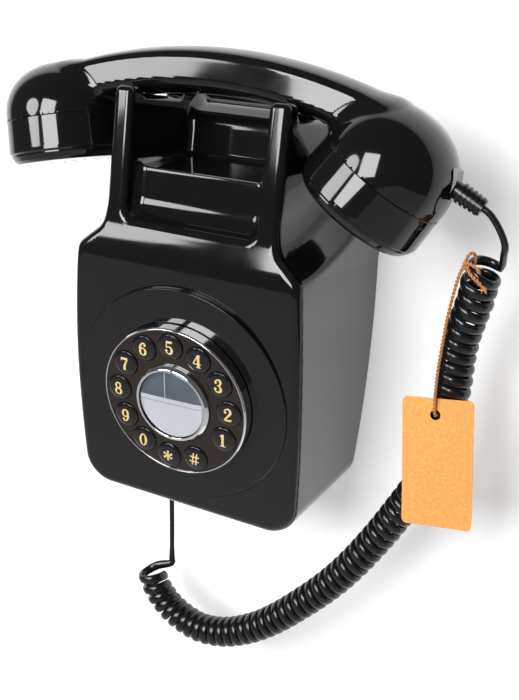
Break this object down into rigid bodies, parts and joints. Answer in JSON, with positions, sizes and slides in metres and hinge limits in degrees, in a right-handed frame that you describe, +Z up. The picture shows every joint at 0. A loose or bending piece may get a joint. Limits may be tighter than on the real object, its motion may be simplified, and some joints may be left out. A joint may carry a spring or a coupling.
{
  "type": "wall telephone",
  "caption": "Wall telephone: a sloping case with two cradle posts, a round plate of push buttons, an arched two-cup handset lying across the posts, and a curly cord that hangs in a loop.",
  "frame": {"origin": "centre of the four wall-screw holes, on the plane of the wall", "axes": "+X to the right as the user faces the telephone, +Y into the wall, +Z up"},
  "size_m": [0.255, 0.1085, 0.3254],
  "materials": {
    "gloss_black": "polished, soft window-like reflections",
    "dial_brown": "lacquered very dark brown",
    "bright_chrome": "bright polished plate",
    "label_paper": "matt card, slate grey above and near white below, bare",
    "clear_lens": "clear moulded cover",
    "black_fittings": "matt moulding",
    "rubber_mat": "matt rubber",
    "board_green": "printed board",
    "zinc_steel": "zinc plated",
    "blue_can": "sleeved can",
    "pale_plastic": "matt moulding",
    "coil_copper": "enamelled copper wire",
    "bell_metal": "spun bell metal",
    "button_black": "polished, with a cream-gold digit",
    "cord_rubber": "soft black, satin",
    "twine": "two-strand twisted twine",
    "kraft_card": "bare tan card"
  },
  "bodies": {
    "housing": {"case_shell": "gloss_black", "wall_plate": "zinc_steel", "case_screws": "zinc_steel", "dial_surround": "gloss_black", "dial_plate": "dial_brown", "dial_rim": "bright_chrome", "label_ring": "bright_chrome", "label_card": "label_paper", "label_lens": "clear_lens", "keypad_frame": "black_fittings", "keypad_screws": "zinc_steel", "keypad_mat": "rubber_mat", "keypad_board": "board_green", "main_board": "board_green", "board_pillars": "zinc_steel", "board_screws": "zinc_steel", "transformer": "black_fittings", "capacitors": "blue_can", "terminal_block": "pale_plastic", "ringer_frame": "zinc_steel", "ringer_coils": "coil_copper", "ringer_cores": "zinc_steel", "gong_left": "bell_metal", "gong_right": "bell_metal", "gong_posts": "zinc_steel", "gong_screws": "zinc_steel", "clapper_pin": "zinc_steel", "hook_bracket": "zinc_steel", "hook_screws": "zinc_steel", "hook_spring": "zinc_steel", "hook_switch": "black_fittings", "cord_gland": "black_fittings", "curly_cord": "cord_rubber", "base_lead": "cord_rubber", "tag_string": "twine", "swing_tag": "kraft_card"},
    "key_1": {"button_1": "button_black"},
    "key_2": {"button_2": "button_black"},
    "key_3": {"button_3": "button_black"},
    "key_4": {"button_4": "button_black"},
    "key_5": {"button_5": "button_black"},
    "key_6": {"button_6": "button_black"},
    "key_7": {"button_7": "button_black"},
    "key_8": {"button_8": "button_black"},
    "key_9": {"button_9": "button_black"},
    "key_0": {"button_0": "button_black"},
    "key_star": {"button_star": "button_black"},
    "key_hash": {"button_hash": "button_black"},
    "hook": {"hook_yoke": "black_fittings"},
    "bell_clapper": {"clapper": "zinc_steel"},
    "handset": {"handset_shell": "gloss_black", "ear_cap": "gloss_black", "mouth_cap": "gloss_black", "receiver_capsule": "zinc_steel", "microphone_capsule": "zinc_steel", "ballast_weight": "zinc_steel", "strain_relief": "cord_rubber", "handset_lead": "cord_rubber"}
  },
  "joints": [
    {"name": "key_1_press", "type": "slide", "parent": "housing", "child": "key_1", "axis": [0, 0.9767, 0.2147], "range_m": [0, 0.002], "stiffness_N_per_m": 100},
    {"name": "key_2_press", "type": "slide", "parent": "housing", "child": "key_2", "axis": [0, 0.9767, 0.2147], "range_m": [0, 0.002], "stiffness_N_per_m": 100},
    {"name": "key_3_press", "type": "slide", "parent": "housing", "child": "key_3", "axis": [0, 0.9767, 0.2147], "range_m": [0, 0.002], "stiffness_N_per_m": 100},
    {"name": "key_4_press", "type": "slide", "parent": "housing", "child": "key_4", "axis": [0, 0.9767, 0.2147], "range_m": [0, 0.002], "stiffness_N_per_m": 100},
    {"name": "key_5_press", "type": "slide", "parent": "housing", "child": "key_5", "axis": [0, 0.9767, 0.2147], "range_m": [0, 0.002], "stiffness_N_per_m": 100},
    {"name": "key_6_press", "type": "slide", "parent": "housing", "child": "key_6", "axis": [0, 0.9767, 0.2147], "range_m": [0, 0.002], "stiffness_N_per_m": 100},
    {"name": "key_7_press", "type": "slide", "parent": "housing", "child": "key_7", "axis": [0, 0.9767, 0.2147], "range_m": [0, 0.002], "stiffness_N_per_m": 100},
    {"name": "key_8_press", "type": "slide", "parent": "housing", "child": "key_8", "axis": [0, 0.9767, 0.2147], "range_m": [0, 0.002], "stiffness_N_per_m": 100},
    {"name": "key_9_press", "type": "slide", "parent": "housing", "child": "key_9", "axis": [0, 0.9767, 0.2147], "range_m": [0, 0.002], "stiffness_N_per_m": 100},
    {"name": "key_0_press", "type": "slide", "parent": "housing", "child": "key_0", "axis": [0, 0.9767, 0.2147], "range_m": [0, 0.002], "stiffness_N_per_m": 100},
    {"name": "key_star_press", "type": "slide", "parent": "housing", "child": "key_star", "axis": [0, 0.9767, 0.2147], "range_m": [0, 0.002], "stiffness_N_per_m": 100},
    {"name": "key_hash_press", "type": "slide", "parent": "housing", "child": "key_hash", "axis": [0, 0.9767, 0.2147], "range_m": [0, 0.002], "stiffness_N_per_m": 100},
    {"name": "handset_lift", "type": "slide", "parent": "housing", "child": "handset", "axis": [0, 0, 1], "range_m": [0, 0.06]},
    {"name": "hook_rise", "type": "slide", "parent": "housing", "child": "hook", "axis": [0, 0, 1], "range_m": [0, 0.006]},
    {"name": "clapper_swing", "type": "hinge", "parent": "housing", "child": "bell_clapper", "pos_m": [0, -0.018, -0.03], "axis": [0, 1, 0], "range_deg": [-3.5, 3.5]}
  ],
  "couplings": [
    {"joint": "hook_rise", "follows": "handset_lift", "ratio": 0.1}
  ]
}
